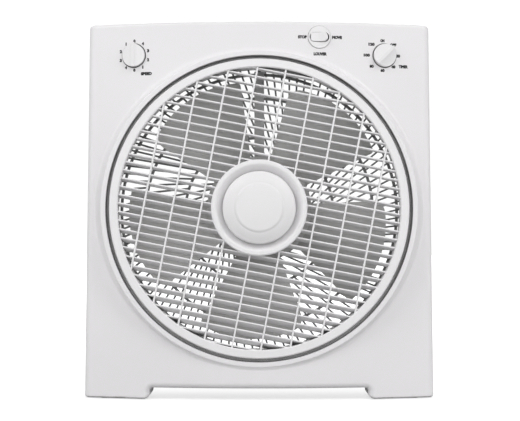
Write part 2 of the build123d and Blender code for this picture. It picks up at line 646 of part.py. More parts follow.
def wire_channel_cover():
    """U-shaped cover over the motor lead, from the motor up to the guard's rim."""
    half = 6.0
    low, high = FAN_Z + MOTOR_COVER_R + 0.4, FAN_Z + 170.5
    channel = box(-half, half, GUARD_IN_Y - 8, GUARD_IN_Y, low, high)
    channel = fillet(channel.edges().filter_by(Axis.Z).sort_by(Axis.Y)[:2], 1.2)
    channel -= box(-half + 1.4, half - 1.4, GUARD_IN_Y - 6.6, GUARD_IN_Y + OVER, low - OVER, high + OVER)
    return channel - rod(MOTOR_COVER_R + 0.2, 0, 80)


def motor_lead():
    """The motor's lead, in its channel and over to the speed switch."""
    route = [
        (0, 53.5, FAN_Z + 45), (0, 53.5, 391), (0, 27, 391.2), (-62, 5, 392), (-128, -6, 387),
    ]
    path = FilletPolyline(*route, radius=[8.0, 24.0, 60.0])
    start = Plane(origin=path @ 0, z_dir=path % 0)
    return sweep(start * Circle(2.4), path=path)


def run_capacitor():
    """Potted run capacitor with its fixing ear, low in the rear casing."""
    case = box(-168, -130, 12, 30, 36, 62)
    case = fillet(case.edges(), 1.2)
    ear = box(-130.5, -118, 12, 14, 42, 56)
    return case + (ear - rod(2.0, 0, 30, -123.5, 49))


def terminal_block():
    """Three-way screw terminal where the mains lead ends."""
    block = box(126, 146, 14, 30, 70, 82)
    for i in range(3):
        block -= rod(1.9, 0, 22, 129.5 + 6.5 * i, 76)
    return block


# ---- Controls ----
def knob(place, turn):
    """Low round dial knob: two shallow scoops leave a grip ridge, with a pointer nose at its end."""
    front, back = -KNOB_H, 3.2
    scoop_r, scoop_depth, ridge_half = 20.0, 3.2, 1.6
    scoop_y = front - scoop_r + scoop_depth
    scoop_x = ridge_half + math.sqrt(scoop_r ** 2 - (front - scoop_y) ** 2)
    shape = rod(KNOB_R, front, back, 0, 0)
    for side in (-1, 1):
        shape -= Pos(side * scoop_x, scoop_y, 0) * Cylinder(scoop_r, 60)
    ridge = shape.edges().filter_by(Axis.Z).filter_by(lambda e: e.center().Y < front + 0.1)
    shape = fillet(ridge, 1.0)
    nose = box(-1.7, 1.7, front + 1.2, -0.8, KNOB_R - 2.5, KNOB_HOLE_R + 0.5)
    shape += fillet(nose.edges().group_by(Axis.Z)[-1], 0.7)
    shape -= rod(3.0, SHAFT_END_Y, 5.0, 0, 0)
    return place * Rot(0, turn, 0) * (shape + box(-2.4, 2.4, SHAFT_END_Y, back, 1.9, 3.1))


def dial_shaft(place, turn, length):
    """D-shaped control shaft."""
    shaft = rod(3.0, SHAFT_END_Y, length, 0, 0)
    shaft -= box(-4, 4, SHAFT_END_Y - OVER, 3.2, 1.9, 4)
    return place * Rot(0, turn, 0) * shaft


def control_body(place, block):
    """A control's front plate behind the panel with its body, bored for the shaft."""
    plate = rod(19.0, 2.9, 5.6, 0, 0) - rod(KNOB_R + 1.0, 2.0, 4.3, 0, 0)
    return place * (plate + block - rod(3.0 + RUN_FIT, 0, 21, 0, 0))


def speed_body():
    """Round body of the rotary speed switch, with its row of terminals."""
    body = rod(15.0, 5.4, 22.0, 0, 0)
    body = fillet(body.edges().group_by(Axis.Y)[-1], 1.0)
    tabs = [box(-9 + 6 * i, -8.2 + 6 * i, 21, 28, -2.4, 2.4) for i in range(4)]
    return body + tabs


def timer_body():
    """Square body of the mechanical timer, with its two terminals."""
    body = box(-21, 21, 5.4, 26.0, -21, 21)
    body = fillet(body.edges().filter_by(Axis.Y), 4.0)
    tabs = [box(side * 10 - 0.4, side * 10 + 0.4, 25, 33, -2.4, 2.4) for side in (-1, 1)]
    return body + tabs


SPEED_AT = on_panel(-DIAL_X, DIAL_Z)
TIMER_AT = on_panel(DIAL_X, DIAL_Z)
ROCKER_AT = on_panel(ROCKER_X, ROCKER_Z)
TIMER_REST = 45.0        # the pointer stands at OFF, this far clockwise from the top
PIVOT_Y = 3.0            # the rocker's pin, behind the panel's face
PADDLE_R = 10.6
PADDLE_HALF_W = 5.0


def pill(half_length, half_width, y0, y1):
    """A round-ended bar seen from the front, between two depths."""
    outline = SlotOverall(2 * half_length, 2 * half_width)
    return Pos(0, y1, 0) * extrude(Plane.XZ * outline, amount=y1 - y0)


def rocker_bezel():
    """Housing of the louver switch, its round bezel let into the panel."""
    housing = rod(BEZEL_R, -1.1, BEZEL_SINK, 0, 0)
    housing = fillet(housing.edges().group_by(Axis.Y)[0], 0.7)
    housing += rod(BEZEL_R - 1.1, 0, 16.0, 0, 0)
    housing -= pill(PADDLE_R + 0.4, PADDLE_HALF_W + 0.4, -5, 14.0)
    housing -= Pos(0, PIVOT_Y, 0) * Cylinder(1.2 + RUN_FIT, 2 * PADDLE_HALF_W + 6)
    return ROCKER_AT * housing


def louver_rocker():
    """Rocker paddle on its pin, standing with its left end pressed."""
    slope = math.tan(math.radians(ROCKER_THROW / 2))
    top, low = -2.2 - PIVOT_Y, 4.0
    end = PADDLE_R + 2
    rise = top - slope * end
    profile = make_face(Polyline((0, top), (end, rise), (end, low), (-end, low), (-end, rise), close=True))
    paddle = extrude(profile, amount=PADDLE_HALF_W, both=True)
    paddle &= Cylinder(PADDLE_R, 4 * PADDLE_HALF_W)
    paddle &= pill(PADDLE_R - 0.4, PADDLE_HALF_W, -20, 20)
    paddle = fillet(paddle.edges().filter_by(lambda e: e.center().Y < top + 0.5 and e.length > 5), 0.5)
    paddle += Cylinder(1.2, 2 * PADDLE_HALF_W + 5)
    return ROCKER_AT * Pos(0, PIVOT_Y, 0) * Rot(0, 0, -ROCKER_THROW / 2) * paddle


# ---- Nodes ----
keep("front_casing", front_casing())
keep("rear_casing", rear_casing())
keep("rear_guard", rear_guard())
keep("wire_channel_cover", wire_channel_cover())
keep("cord_inlet_bush", cord_inlet_bush())
keep("foot_pads", *[pad_block(x, y) for x, y in PADS])
keep("casing_screws", *[pan_screw(x, z, 4.0, 22, 1.6 - SMALL, 4.2, 2.6) for x, z in CASING_BOSSES])
guard_points = [clock(GUARD_SCREW_R, angle) for angle in GUARD_SCREW_ANGLES]
guard_head_h = HALF_DEPTH - BACK_Y
keep("guard_screws", *[pan_screw(x, z, BACK_Y, 6, 1.2 - SMALL, 3.2, guard_head_h) for x, z in guard_points])

keep("louver_grille", louver_grille())
keep("louver_hub_cap", louver_hub_cap())
keep("louver_clips", *[louver_clip(angle) for angle in CLIP_ANGLES])
clip_points = [clock(CLIP_SCREW_R, angle) for angle in CLIP_ANGLES]
clip_head_y = CLIP_PLATE_Y + CLIP_T
keep("louver_clip_screws", *[pan_screw(x, z, clip_head_y, 7, 1.3 - SMALL, 3.0, 2.0) for x, z in clip_points])
keep("louver_motor", louver_motor())
ear_screws = [pan_screw(x, z, EAR_Y + EAR_T, 7, 1.2 - SMALL, 2.8, 1.8) for x, z in louver_motor_ears()]
keep("louver_motor_screws", *ear_screws)
roller_x, roller_z = clock(ROLLER_AT_R, ROLLER_ANGLE)
keep("louver_motor_shaft", rod(3.0, -44.0, EAR_Y + 7, roller_x, roller_z))
keep("roller_hub", tube(6.5, 3.0, -43.6, -38.0, roller_x, roller_z))
keep("roller_tyre", tube(ROLLER_R, 6.5, -43.2, -38.6, roller_x, roller_z))

keep("fan_blade", fan_blade())
keep("blade_nut", blade_nut())
keep("drive_pin", drive_pin())
keep("motor_shaft", motor_shaft())
keep("rotor_core", rotor_core())
front_face, rear_face = CORE_Y[0] - 12.0, CORE_Y[1] + 12.0
keep("motor_front_bracket", motor_bracket(front_face, CORE_Y[0], 1))
keep("motor_rear_bracket", motor_bracket(rear_face, CORE_Y[1], -1) + motor_posts(rear_face))
keep("front_bearing_bush", tube(BUSH_R, SHAFT_R + RUN_FIT, front_face - 5, front_face + 5))
keep("rear_bearing_bush", tube(BUSH_R, SHAFT_R + RUN_FIT, rear_face - 5, rear_face + 5))
keep("stator_core", stator_core())
keep("stator_windings", stator_windings())
bolt_points = [clock(BOLT_R, angle) for angle in BOLT_ANGLES]
keep("motor_through_bolts", *[through_bolt(x, z, front_face, rear_face) for x, z in bolt_points])
post_points = [clock(BOLT_R, angle) for angle in POST_ANGLES]
keep("motor_mount_screws", *[pan_screw(x, z, GUARD_IN_Y + 3.0, 10, 2.0, 4.0, 2.4) for x, z in post_points])
keep("motor_cover", motor_cover())
keep("motor_lead", motor_lead())
keep("run_capacitor", run_capacitor())
keep("terminal_block", terminal_block())

keep("speed_knob", knob(SPEED_AT, 0.0))
keep("speed_shaft", dial_shaft(SPEED_AT, 0.0, 18.0))
keep("speed_switch", control_body(SPEED_AT, speed_body()))
keep("timer_knob", knob(TIMER_AT, TIMER_REST))
keep("timer_shaft", dial_shaft(TIMER_AT, TIMER_REST, 18.0))
keep("timer_case", control_body(TIMER_AT, timer_body()))
keep("rocker_bezel", rocker_bezel())
keep("louver_rocker", louver_rocker())

os.makedirs("parts", exist_ok=True)
for name, shape in nodes.items():
    export_step(shape, f"parts/{name}.step")
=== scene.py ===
import math

import bmesh
import bpy
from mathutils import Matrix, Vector


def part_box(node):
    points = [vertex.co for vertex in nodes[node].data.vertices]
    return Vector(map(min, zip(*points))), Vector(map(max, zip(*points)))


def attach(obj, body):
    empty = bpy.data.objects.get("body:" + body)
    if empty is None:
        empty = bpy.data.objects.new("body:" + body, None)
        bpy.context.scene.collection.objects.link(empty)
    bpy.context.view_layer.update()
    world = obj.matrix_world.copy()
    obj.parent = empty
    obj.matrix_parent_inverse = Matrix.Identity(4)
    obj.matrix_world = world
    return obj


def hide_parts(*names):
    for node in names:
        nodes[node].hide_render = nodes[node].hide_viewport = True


# Box fan with a round louver that turns in front of the blades. Metres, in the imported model's frame:
# X to the right seen from the front, Y from front to back, Z up, standing on z = 0.
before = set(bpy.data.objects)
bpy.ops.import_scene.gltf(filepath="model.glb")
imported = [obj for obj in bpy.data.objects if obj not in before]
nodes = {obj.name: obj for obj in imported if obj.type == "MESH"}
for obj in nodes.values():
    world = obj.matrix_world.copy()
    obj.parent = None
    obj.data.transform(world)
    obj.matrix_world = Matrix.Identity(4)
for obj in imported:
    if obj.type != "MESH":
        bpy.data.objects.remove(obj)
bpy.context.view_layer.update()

# ---- Camera ----
# The fan is seen straight on, a metre away and a little below its own middle.
louver_low, louver_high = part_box("louver_grille")
fan_axis = Vector(((louver_low.x + louver_high.x) / 2, 0.0, (louver_low.z + louver_high.z) / 2))
CAMERA_DISTANCE = 1.0        # from the camera to the louver's ring
CAMERA_HEIGHT = 0.171
CAMERA_ASIDE = 0.0009
CAMERA_PITCH = math.radians(2.17)
LENS = 62.93                 # mm, on a sensor 36 mm wide
RING_Y = -0.054              # the front face of the louver's ring

camera_data = bpy.data.cameras.new("camera")
camera_data.lens = LENS
camera_data.sensor_width = 36.0
camera_data.clip_start = 0.05
camera_data.clip_end = 60.0
camera = bpy.data.objects.new("camera", camera_data)
camera.location = (CAMERA_ASIDE, RING_Y - CAMERA_DISTANCE, CAMERA_HEIGHT)
camera.rotation_euler = (math.radians(90.0) + CAMERA_PITCH, 0.0, 0.0)
bpy.context.scene.collection.objects.link(camera)
bpy.context.scene.camera = camera

# ---- Studio ----
# A table that runs back out of sight, its white a painted glow. The light is broad and even: two soft boxes
# above the fan's shoulders, a fill in front and one at each side, and one behind. The room is plain white.
ROOM_SEEN = 1.05             # strength of the white room behind the fan
ROOM_LIGHT = 0.33            # strength of the light that it throws
SHOULDER_WATTS = 15.5
FRONT_WATTS = 27.5
SIDE_WATTS = 11.5
BACK_WATTS = 30.0

scene = bpy.context.scene
scene.view_settings.view_transform = "Standard"
scene.view_settings.look = "None"

world = bpy.data.worlds.new("white_room")
scene.world = world
world.use_nodes = True
room = world.node_tree
room.nodes.clear()
room_out = room.nodes.new("ShaderNodeOutputWorld")
room_mix = room.nodes.new("ShaderNodeMixShader")
room_seen = room.nodes.new("ShaderNodeBackground")
room_light = room.nodes.new("ShaderNodeBackground")
room_path = room.nodes.new("ShaderNodeLightPath")
room_seen.inputs["Color"].default_value = (1.0, 1.0, 1.0, 1.0)
room_seen.inputs["Strength"].default_value = ROOM_SEEN
room_light.inputs["Color"].default_value = (1.0, 1.0, 1.0, 1.0)
room_light.inputs["Strength"].default_value = ROOM_LIGHT
room.links.new(room_path.outputs["Is Camera Ray"], room_mix.inputs[0])
room.links.new(room_light.outputs[0], room_mix.inputs[1])
room.links.new(room_seen.outputs[0], room_mix.inputs[2])
room.links.new(room_mix.outputs[0], room_out.inputs[0])


def soft_box(name, place, aim, width, height, power):
    """A rectangular soft light hung at a place and aimed at a point."""
    data = bpy.data.lights.new(name, "AREA")
    data.shape = "RECTANGLE"
    data.size, data.size_y = width, height
    data.energy = power
    lamp = bpy.data.objects.new(name, data)
    lamp.location = place
    lamp.rotation_euler = (Vector(aim) - Vector(place)).to_track_quat("-Z", "Y").to_euler()
    scene.collection.objects.link(lamp)
    return lamp


fan_middle = (0.0, 0.0, 0.21)
for side in (-1, 1):
    soft_box(f"soft_box_{side}", (1.3 * side, -1.2, 1.7), fan_middle, 1.2, 1.2, SHOULDER_WATTS)
soft_box("front_fill", (0.0, -3.2, 0.6), fan_middle, 2.4, 2.0, FRONT_WATTS)
for side in (-1, 1):
    soft_box(f"side_fill_{side}", (2.4 * side, -1.0, 0.5), fan_middle, 1.6, 1.4, SIDE_WATTS)
soft_box("back_light", (0.4, 2.2, 1.5), fan_middle, 1.8, 1.4, BACK_WATTS)

TABLE_HALF = 14.0
table_mesh = bpy.data.meshes.new("white_table")
shape = bmesh.new()
bmesh.ops.create_grid(shape, x_segments=1, y_segments=1, size=TABLE_HALF)
shape.to_mesh(table_mesh)
shape.free()
white_table = bpy.data.objects.new("white_table", table_mesh)
scene.collection.objects.link(white_table)


def new_material(name, roughness, coat=0.0, metallic=0.0, ior=1.46):
    """A material with a Principled shader. Returns it with its node tree and shader."""
    material = bpy.data.materials.new(name)
    material.use_nodes = True
    tree = material.node_tree
    shader = tree.nodes["Principled BSDF"]
    shader.inputs["Roughness"].default_value = roughness
    shader.inputs["Metallic"].default_value = metallic
    shader.inputs["IOR"].default_value = ior
    shader.inputs["Coat Weight"].default_value = coat
    return material, tree, shader


def math_node(tree, operation, a, b=None, clamp=False):
    """A Math node fed by sockets or numbers."""
    node = tree.nodes.new("ShaderNodeMath")
    node.operation = operation
    node.use_clamp = clamp
    for slot, value in enumerate((a, b)):
        if value is None:
            continue
        if isinstance(value, (int, float)):
            node.inputs[slot].default_value = value
        else:
            tree.links.new(value, node.inputs[slot])
    return node.outputs[0]


table_paint, tree, shader = new_material("table_paint", 0.9)
cloudy = tree.nodes.new("ShaderNodeTexNoise")
cloudy.inputs["Scale"].default_value = 1.5
shade = tree.nodes.new("ShaderNodeValToRGB")
shade.color_ramp.elements[0].color = (0.50, 0.50, 0.50, 1.0)
shade.color_ramp.elements[1].color = (0.53, 0.53, 0.53, 1.0)
place = tree.nodes.new("ShaderNodeTexCoord")
tree.links.new(place.outputs["Object"], cloudy.inputs["Vector"])
tree.links.new(cloudy.outputs["Fac"], shade.inputs["Fac"])
tree.links.new(shade.outputs["Color"], shader.inputs["Base Color"])
shader.inputs["Specular IOR Level"].default_value = 0.0
shader.inputs["Emission Color"].default_value = (1.0, 1.0, 1.0, 1.0)
seen = tree.nodes.new("ShaderNodeLightPath")
split = tree.nodes.new("ShaderNodeSeparateXYZ")
tree.links.new(place.outputs["Object"], split.inputs[0])


def fade(tree, value, start, end, low, high):
    """A smooth step of a socket from one value to another."""
    step = tree.nodes.new("ShaderNodeMapRange")
    step.interpolation_type = "SMOOTHSTEP"
    step.inputs["From Min"].default_value = start
    step.inputs["From Max"].default_value = end
    step.inputs["To Min"].default_value = low
    step.inputs["To Max"].default_value = high
    tree.links.new(value, step.inputs["Value"])
    return step.outputs["Result"]


# The table glows for camera rays only, a painted light: weaker along the fan's front, where a strip of
# shade stays, stronger beneath the fan, where it lifts the shade, and stronger again further back.
UNDER_FRONT = (-0.035, 0.03)
FURTHER_BACK = (0.4, 2.4)
behind = fade(tree, split.outputs["Y"], *UNDER_FRONT, 0.66, 0.92)
beyond = fade(tree, split.outputs["Y"], *FURTHER_BACK, 0.0, 0.3)
glow = math_node(tree, "MULTIPLY", seen.outputs["Is Camera Ray"], math_node(tree, "ADD", behind, beyond))
tree.links.new(glow, shader.inputs["Emission Strength"])
table_mesh.materials.append(table_paint)

# ---- Front casing ----
# The curved front panel with its flared collar, legs and screw bosses is one injection moulding in white
# ABS. The mould is spark-eroded to a very fine grain, and its edges are lightened a little as painted
# highlight.


def group_tree(name, inputs, outputs):
    """An empty shader node group with float, colour or vector sockets: (name, kind, default)."""
    tree = bpy.data.node_groups.new(name, "ShaderNodeTree")
    kinds = {"float": "NodeSocketFloat", "color": "NodeSocketColor", "vector": "NodeSocketVector"}
    for label, kind, value in inputs:
        socket = tree.interface.new_socket(label, in_out="INPUT", socket_type=kinds[kind])
        if value is not None:
            socket.default_value = value
    for label, kind in outputs:
        tree.interface.new_socket(label, in_out="OUTPUT", socket_type=kinds[kind])
    return tree, tree.nodes.new("NodeGroupInput"), tree.nodes.new("NodeGroupOutput")


def mix_colour(tree, factor, a, b, blend="MIX"):
    """A colour Mix node fed by sockets or colours."""
    node = tree.nodes.new("ShaderNodeMix")
    node.data_type = "RGBA"
    node.blend_type = blend
    for slot, value in ((0, factor), (6, a), (7, b)):
        if isinstance(value, (int, float, tuple)):
            node.inputs[slot].default_value = value
        else:
            tree.links.new(value, node.inputs[slot])
    return node.outputs[2]


# Spark-eroded grain: a height for the bump, and a slow drift of tone across the moulding.
grain_tree, grain_in, grain_out = group_tree(
    "mould_grain",
    [("Grains per metre", "float", 2600.0), ("Drift", "float", 9.0)],
    [("Height", "float"), ("Tone", "float")],
)
coords = grain_tree.nodes.new("ShaderNodeTexCoord")
fine = grain_tree.nodes.new("ShaderNodeTexNoise")
fine.inputs["Detail"].default_value = 3.0
pits = grain_tree.nodes.new("ShaderNodeTexVoronoi")
drift = grain_tree.nodes.new("ShaderNodeTexNoise")
drift.inputs["Detail"].default_value = 2.0
for texture, socket in ((fine, "Grains per metre"), (pits, "Grains per metre"), (drift, "Drift")):
    grain_tree.links.new(coords.outputs["Object"], texture.inputs["Vector"])
    grain_tree.links.new(grain_in.outputs[socket], texture.inputs["Scale"])
grain_height = math_node(grain_tree, "MULTIPLY", fine.outputs["Fac"], pits.outputs["Distance"])
grain_tree.links.new(grain_height, grain_out.inputs["Height"])
grain_tree.links.new(drift.outputs["Fac"], grain_out.inputs["Tone"])

# Softened edges: a normal that rounds every sharp edge by a given radius, and a mask of those edges.
edge_tree, edge_in, edge_out = group_tree(
    "soft_edges", [("Radius", "float", 0.0004)], [("Normal", "vector"), ("Edge", "float")]
)
rounded = edge_tree.nodes.new("ShaderNodeBevel")
rounded.samples = 4
flat = edge_tree.nodes.new("ShaderNodeNewGeometry")
turned = edge_tree.nodes.new("ShaderNodeVectorMath")
turned.operation = "DOT_PRODUCT"
edge_tree.links.new(edge_in.outputs["Radius"], rounded.inputs["Radius"])
edge_tree.links.new(rounded.outputs["Normal"], turned.inputs[0])
edge_tree.links.new(flat.outputs["Normal"], turned.inputs[1])
bend = math_node(edge_tree, "SUBTRACT", 1.0, turned.outputs["Value"])
edge_mask = math_node(edge_tree, "MULTIPLY", bend, 3.0, True)
edge_tree.links.new(rounded.outputs["Normal"], edge_out.inputs["Normal"])
edge_tree.links.new(edge_mask, edge_out.inputs["Edge"])

# Dust: a faint film that gathers in corners.
dust_tree, dust_in, dust_out = group_tree(
    "settled_dust", [("Reach", "float", 0.006), ("Amount", "float", 0.3)], [("Dust", "float")]
)
corner = dust_tree.nodes.new("ShaderNodeAmbientOcclusion")
corner.samples = 4
dust_tree.links.new(dust_in.outputs["Reach"], corner.inputs["Distance"])
speck = dust_tree.nodes.new("ShaderNodeTexNoise")
speck.inputs["Scale"].default_value = 420.0
speck.inputs["Detail"].default_value = 4.0
speck_place = dust_tree.nodes.new("ShaderNodeTexCoord")
dust_tree.links.new(speck_place.outputs["Object"], speck.inputs["Vector"])
hidden = math_node(dust_tree, "SUBTRACT", 1.0, corner.outputs["AO"])
film = math_node(dust_tree, "MULTIPLY", hidden, speck.outputs["Fac"])
settled = math_node(dust_tree, "MULTIPLY", film, dust_in.outputs["Amount"], True)
dust_tree.links.new(settled, dust_out.inputs["Dust"])

# Painted shade in gaps: a mask of deep crevices, where a face sees almost nothing but a wall close by; the
# materials paint those crevices dark as shade.
gap_shade_tree, gap_in, gap_out = group_tree("painted_gap_shade", [("Reach", "float", 0.008)], [("Gap", "float")])
crevice = gap_shade_tree.nodes.new("ShaderNodeAmbientOcclusion")
crevice.samples = 6
gap_shade_tree.links.new(gap_in.outputs["Reach"], crevice.inputs["Distance"])
CREVICE_SHUT, CREVICE_OPEN = 0.17, 0.42   # share of open sky over which a crevice clears
shut_in = fade(gap_shade_tree, crevice.outputs["AO"], CREVICE_SHUT, CREVICE_OPEN, 1.0, 0.0)
gap_shade_tree.links.new(shut_in, gap_out.inputs["Gap"])


def place_group(tree, group, **values):
    """A group node in a material, with its own values on its inputs."""
    node = tree.nodes.new("ShaderNodeGroup")
    node.node_tree = group
    for label, value in values.items():
        node.inputs[label.replace("_", " ")].default_value = value
    return node


DUST_TONE = (0.42, 0.40, 0.37, 1.0)
CREVICE_REACH = 0.008
GRAIN_DEPTH = 0.00005


def moulded_plastic(name, colour, roughness, grains=2600.0, depth=0.25, edge=0.0004, dust=0.25,
                    coat=0.0, vary=0.03, gap_shade=0.0, open_middle=0.0):
    """Injection-moulded plastic: grained, its tone drifting slightly, its edges soft and lightened a little
    as painted highlight.

    gap_shade sets how strongly deep crevices are painted dark as shade, less so within the open_middle
    radius of the fan's axis.
    """
    material, tree, shader = new_material(name, roughness, coat)
    grain = place_group(tree, grain_tree, **{"Grains_per_metre": grains})
    edges = place_group(tree, edge_tree, Radius=edge)
    film = place_group(tree, dust_tree, Amount=dust)
    darker = tuple(channel * (1.0 - vary) for channel in colour) + (1.0,)
    lighter = tuple(min(1.0, channel * (1.0 + vary)) for channel in colour) + (1.0,)
    tone = mix_colour(tree, grain.outputs["Tone"], darker, lighter)
    # Painted highlight: the softened edges are lightened a little.
    edge_highlight = mix_colour(tree, math_node(tree, "MULTIPLY", edges.outputs["Edge"], 0.25), tone, lighter)
    dusty = mix_colour(tree, film.outputs["Dust"], edge_highlight, DUST_TONE)
    # Painted shade: deep crevices are mixed towards near black.
    gap_shading = place_group(tree, gap_shade_tree, Reach=CREVICE_REACH)
    shade_black = tuple(channel * 0.08 for channel in colour) + (1.0,)
    painted_shade = math_node(tree, "MULTIPLY", gap_shading.outputs["Gap"], gap_shade)
    if open_middle:
        place = tree.nodes.new("ShaderNodeTexCoord")
        centred = tree.nodes.new("ShaderNodeMapping")
        centred.inputs["Location"].default_value = (0.0, 0.0, -fan_axis.z)
        centred.inputs["Scale"].default_value = (1.0, 0.0, 1.0)
        radius = tree.nodes.new("ShaderNodeVectorMath")
        radius.operation = "LENGTH"
        tree.links.new(place.outputs["Object"], centred.inputs["Vector"])
        tree.links.new(centred.outputs["Vector"], radius.inputs[0])
        outside = fade(tree, radius.outputs["Value"], open_middle, open_middle * 1.3, 0.15, 1.0)
        painted_shade = math_node(tree, "MULTIPLY", painted_shade, outside)
    final = mix_colour(tree, painted_shade, dusty, shade_black)
    tree.links.new(final, shader.inputs["Base Color"])
    rough = math_node(tree, "MULTIPLY_ADD", grain.outputs["Height"], 0.25)
    rough.node.inputs[2].default_value = roughness - 0.05
    tree.links.new(rough, shader.inputs["Roughness"])
    bump = tree.nodes.new("ShaderNodeBump")
    bump.inputs["Strength"].default_value = depth
    bump.inputs["Distance"].default_value = GRAIN_DEPTH
    tree.links.new(grain.outputs["Height"], bump.inputs["Height"])
    tree.links.new(edges.outputs["Normal"], bump.inputs["Normal"])
    tree.links.new(bump.outputs["Normal"], shader.inputs["Normal"])
    return material


def finish_node(name, material):
    """Gives a CAD node its material."""
    mesh = nodes[name].data
    mesh.materials.clear()
    mesh.materials.append(material)


# Deep crevices in the casing are painted dark as shade.
casing_white = moulded_plastic("casing_white", (0.80, 0.787, 0.80), 0.42, gap_shade=0.95)
finish_node("front_casing", casing_white)

# ---- Rear casing ----
# The back shell is moulded in the same white ABS, with a finger recess at the top to carry the fan by.
# Eight screws hold it to the front casing through deep wells.
finish_node("rear_casing", casing_white)

# ---- Rear guard ----
# A grey moulded grille of leaning ribs on three rings, with a dish that carries the motor; its grey is
# partly painted shade for the unlit inside of the fan. Six screws hold its flange behind the casing.
guard_grey = moulded_plastic("guard_grey", (0.42, 0.42, 0.425), 0.5, dust=0.4)
finish_node("rear_guard", guard_grey)

# ---- Wire channel cover ----
# A pale grey moulded channel, clipped to the inside of the guard. It hides the motor's lead on its way
# up from the motor to the controls.
channel_grey = moulded_plastic("channel_grey", (0.90, 0.90, 0.90), 0.5)
finish_node("wire_channel_cover", channel_grey)

# ---- Cord inlet bush ----
# A black rubber bush where the mains lead goes in. It is cured in one piece, and its groove is pressed
# into a hole in the back wall.


def rubber(name, colour, roughness):
    """Cured rubber: matt, faintly mottled, with a dusty bloom."""
    return moulded_plastic(name, colour, roughness, grains=900.0, depth=0.4, dust=0.6, vary=0.12)


pad_rubber = rubber("pad_rubber", (0.05, 0.05, 0.05), 0.75)
finish_node("cord_inlet_bush", pad_rubber)

# ---- Foot pads ----
# Four soft black rubber pads that keep the fan from walking. Each is let into a pocket under a foot and
# glued there.
finish_node("foot_pads", pad_rubber)

# ---- Screws ----
# Zinc-plated pan-head screws with cross recesses. They cut their own thread in the moulded bosses, and
# the same kind hold the casing, the guard, the clips and both motors.


def plated_steel(name, colour, roughness, scratch=700.0):
    """Plated or ground steel: fine turning marks and a roughness that varies along them."""
    material, tree, shader = new_material(name, roughness, metallic=1.0, ior=2.2)
    place = tree.nodes.new("ShaderNodeTexCoord")
    marks = tree.nodes.new("ShaderNodeTexNoise")
    marks.inputs["Scale"].default_value = scratch
    marks.inputs["Detail"].default_value = 5.0
    tree.links.new(place.outputs["Object"], marks.inputs["Vector"])
    dull = tuple(channel * 0.82 for channel in colour) + (1.0,)
    tone = mix_colour(tree, marks.outputs["Fac"], dull, colour + (1.0,))
    tree.links.new(tone, shader.inputs["Base Color"])
    rough = math_node(tree, "MULTIPLY_ADD", marks.outputs["Fac"], 0.2)
    rough.node.inputs[2].default_value = roughness - 0.08
    tree.links.new(rough, shader.inputs["Roughness"])
    edges = place_group(tree, edge_tree, Radius=0.0002)
    bump = tree.nodes.new("ShaderNodeBump")
    bump.inputs["Strength"].default_value = 0.15
    bump.inputs["Distance"].default_value = 0.00004
    tree.links.new(marks.outputs["Fac"], bump.inputs["Height"])
    tree.links.new(edges.outputs["Normal"], bump.inputs["Normal"])
    tree.links.new(bump.outputs["Normal"], shader.inputs["Normal"])
    return material


screw_zinc = plated_steel("screw_zinc", (0.62, 0.62, 0.64), 0.3)
for name in ("casing_screws", "guard_screws", "louver_clip_screws", "louver_motor_screws",
             "motor_mount_screws", "motor_through_bolts"):
    finish_node(name, screw_zinc)

# ---- Louver ----
# The louver is one white moulding: ring, hub, thin slats and upright bars. It turns slowly in the
# collar, so its slats stand at any angle.
# Deep crevices of the louver, such as the gap round its ring, are painted dark as shade, less so near the
# hub.
louver_white = moulded_plastic("louver_white", (0.82, 0.81, 0.82), 0.36, edge=0.0003, dust=0.05, gap_shade=0.95,
                               open_middle=0.06)
finish_node("louver_grille", louver_white)

# ---- Louver hub cap ----
# A smooth white cap snapped into the louver's hub: a low crown inside a fine step, then a shoulder that
# rolls over into the side wall. It is turned about the fan's axis from one profile.
cap_low, cap_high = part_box("louver_hub_cap")
CAP_R = (cap_high.x - cap_low.x) / 2
CAP_STEP_R = 0.0266
CAP_STEP = 0.0005            # width of the fine step
CAP_STEP_FALL = 1.6 * CAP_STEP
CAP_SHOULDER = 0.003224      # how far the shoulder falls from the step to the roll
CAP_ROLL_R = 0.003
CAP_ROLL_FROM = 22.0         # degrees of slope where the roll begins
CAP_CROWN = 0.0010
CAP_WALL = 0.002
PROFILE_STEPS = 12
ROLL_STEPS = 7
CAP_SPIN_STEPS = 96

cap = bmesh.new()
profile = []
for i in range(PROFILE_STEPS + 1):
    out = CAP_STEP_R * i / PROFILE_STEPS
    profile.append((out, cap_low.y + CAP_CROWN * (out / CAP_STEP_R) ** 2))
step_y = profile[-1][1]
profile.append((CAP_STEP_R + CAP_STEP, step_y + CAP_STEP_FALL))
shoulder_w = CAP_R - CAP_ROLL_R - CAP_STEP_R - CAP_STEP
for i in range(1, PROFILE_STEPS + 1):
    share = i / PROFILE_STEPS
    out = CAP_STEP_R + CAP_STEP + shoulder_w * share
    profile.append((out, step_y + CAP_STEP_FALL + CAP_SHOULDER * share ** 1.5))
roll_y = profile[-1][1]
for i in range(1, ROLL_STEPS + 1):
    turn = math.radians(CAP_ROLL_FROM + (90.0 - CAP_ROLL_FROM) * i / ROLL_STEPS)
    out = CAP_R - CAP_ROLL_R * (1.0 - math.sin(turn))
    profile.append((out, roll_y + CAP_ROLL_R * (1.0 - math.cos(turn))))
profile.append((CAP_R, cap_high.y))
profile.append((CAP_R - CAP_WALL, cap_high.y))
points = [cap.verts.new((out, y, fan_axis.z)) for out, y in profile]
for a, b in zip(points, points[1:]):
    cap.edges.new((a, b))
bmesh.ops.spin(cap, geom=cap.verts[:] + cap.edges[:], cent=(0.0, 0.0, fan_axis.z), axis=(0.0, 1.0, 0.0),
               angle=math.tau, steps=CAP_SPIN_STEPS, use_merge=True)
bmesh.ops.remove_doubles(cap, verts=cap.verts, dist=1e-6)
bmesh.ops.holes_fill(cap, edges=[edge for edge in cap.edges if edge.is_boundary], sides=0)
